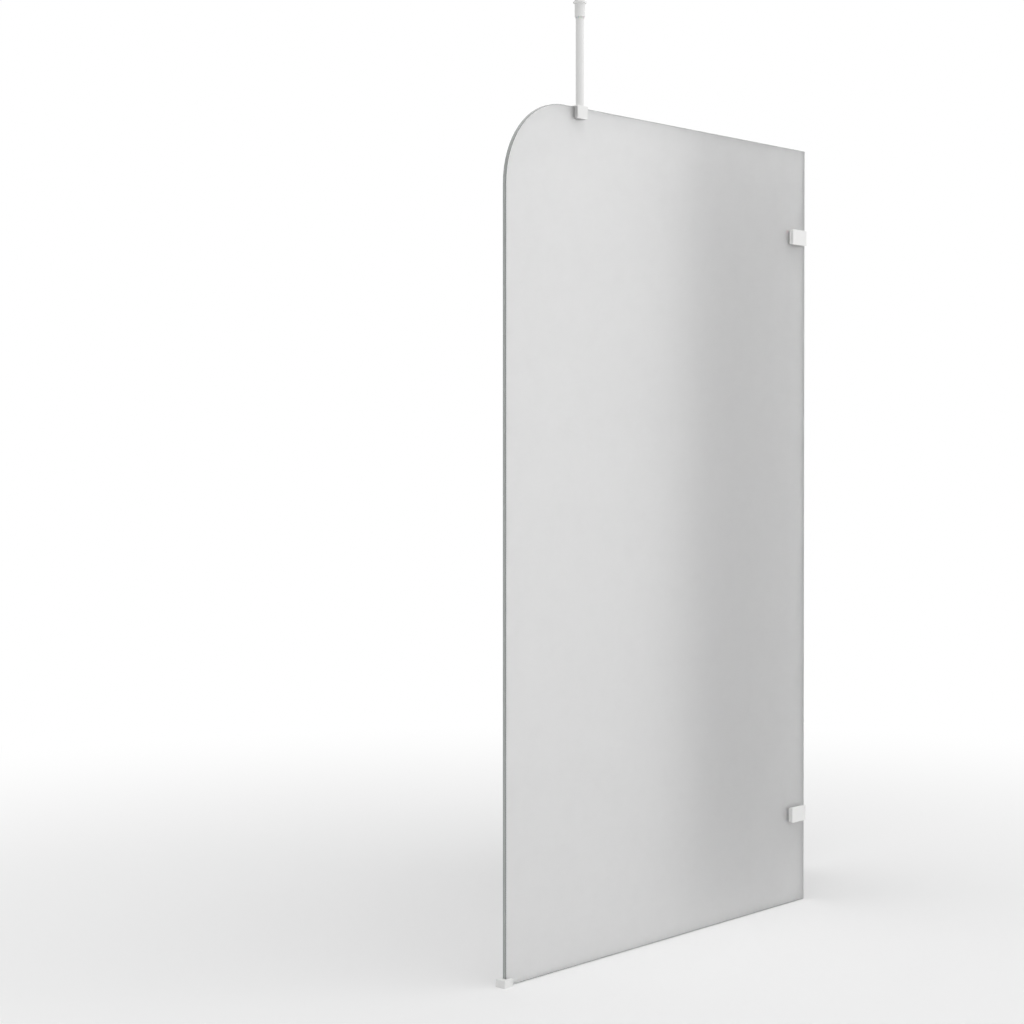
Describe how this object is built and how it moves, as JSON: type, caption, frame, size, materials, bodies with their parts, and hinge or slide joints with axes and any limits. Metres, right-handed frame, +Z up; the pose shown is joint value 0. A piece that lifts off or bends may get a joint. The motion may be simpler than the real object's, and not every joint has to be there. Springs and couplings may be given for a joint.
{
  "type": "walk-in shower screen",
  "caption": "Fixed satin glass walk-in shower screen with a large rounded top corner, held by wall clamps, a floor block and a ceiling post, all white.",
  "frame": {"origin": "on the floor, under the free edge of the glass, in the middle of its thickness: the centre of the floor clamp's underside", "axes": "+X along the glass towards the wall, -Y towards the room, +Y towards the shower, +Z up"},
  "size_m": [1.214, 0.0724, 2.256],
  "materials": {
    "satin_glass": "acid-etched satin on both faces, ground edges",
    "white_powder_coat": "fine satin powder coat",
    "grey_rubber": "matt moulded rubber",
    "pale_silicone": "matt translucent silicone rubber",
    "stainless_steel": "plain stainless steel",
    "white_nylon": "moulded nylon"
  },
  "bodies": {
    "screen": {"glass_panel": "satin_glass", "lower_wall_bracket": "white_powder_coat", "lower_inner_gasket": "pale_silicone", "lower_outer_gasket": "pale_silicone", "lower_jaw_plate": "white_powder_coat", "lower_clamp_cover": "white_powder_coat", "upper_wall_bracket": "white_powder_coat", "upper_inner_gasket": "pale_silicone", "upper_outer_gasket": "pale_silicone", "upper_jaw_plate": "white_powder_coat", "upper_clamp_cover": "white_powder_coat", "clamp_screws": "stainless_steel", "glass_bushes": "white_nylon", "floor_clamp": "white_powder_coat", "floor_boot": "pale_silicone", "floor_grub_screw": "stainless_steel", "top_clamp": "white_powder_coat", "top_liner": "grey_rubber", "top_pressure_plate": "stainless_steel", "top_grub_screws": "stainless_steel", "ceiling_post": "white_powder_coat", "post_grub_screw": "stainless_steel"},
    "ceiling_mount": {"ceiling_base": "white_powder_coat", "ceiling_cup": "white_powder_coat", "cup_guide_ring": "white_nylon", "cup_grub_screw": "stainless_steel"}
  },
  "joints": [
    {"name": "ceiling_height_adjustment", "type": "slide", "parent": "screen", "child": "ceiling_mount", "axis": [0, 0, 1], "range_m": [-0.007, 0.007]}
  ]
}
